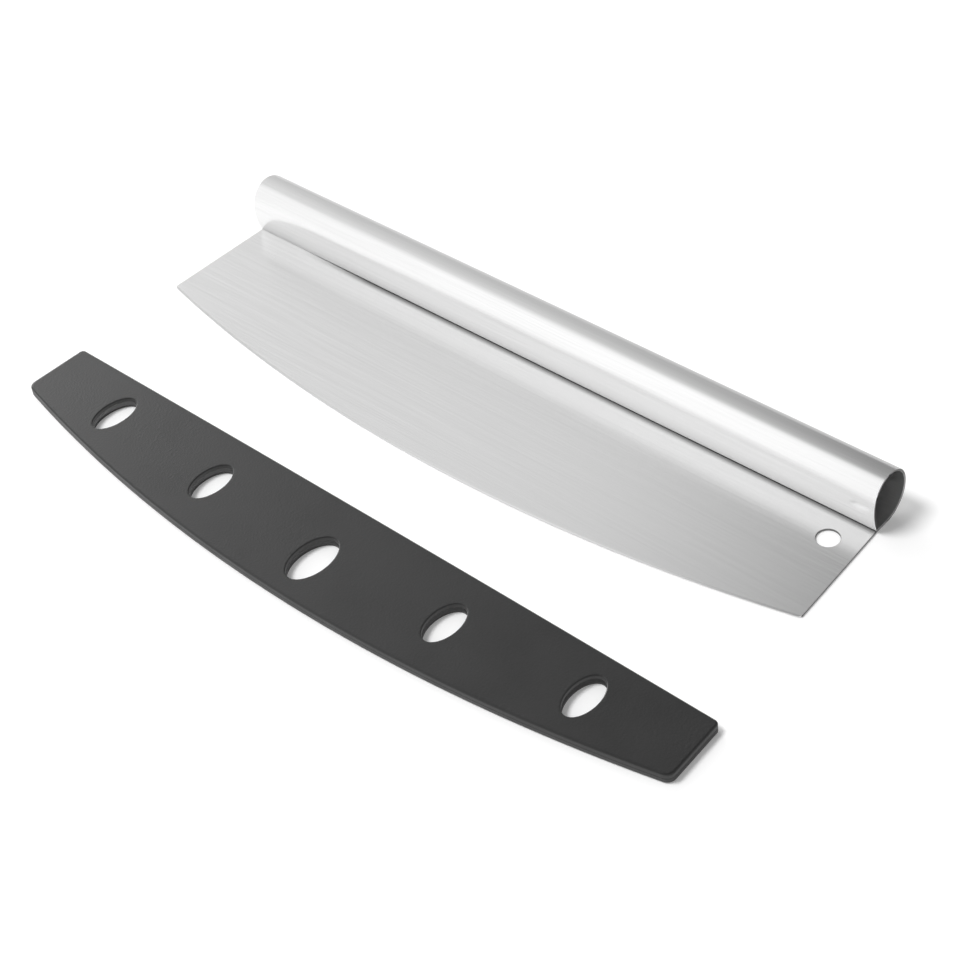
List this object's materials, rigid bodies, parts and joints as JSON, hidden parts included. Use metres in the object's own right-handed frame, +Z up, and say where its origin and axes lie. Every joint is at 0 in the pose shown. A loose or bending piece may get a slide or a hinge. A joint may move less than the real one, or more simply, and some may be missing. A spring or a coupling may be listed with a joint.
{
  "type": "rocking pizza knife with blade cover",
  "caption": "Rocking pizza knife: curved steel blade rolled into a tube handle along its straight side, hanging hole, and a flat slotted plastic blade cover.",
  "frame": {"origin": "on the table, under the middle of the box round the knife and its cover lying beside it", "axes": "+X along the handle toward the end with the hanging hole, +Y from the cutting edge toward the handle, +Z up from the table"},
  "size_m": [0.365, 0.1872, 0.0259],
  "materials": {
    "brushed_steel": "satin, fine brushing along the handle",
    "cover_top": "matt charcoal, fine leather grain",
    "cover_bottom": "matt charcoal, fine leather grain"
  },
  "bodies": {
    "cover": {"cover_top_shell": "cover_top", "cover_bottom_shell": "cover_bottom"},
    "knife": {"knife_sheet": "brushed_steel"}
  },
  "joints": [
    {"name": "knife_slide", "type": "slide", "parent": "cover", "child": "knife", "axis": [0.0791, -0.9966, 0.0249], "range_m": [0, 0.0885]}
  ]
}
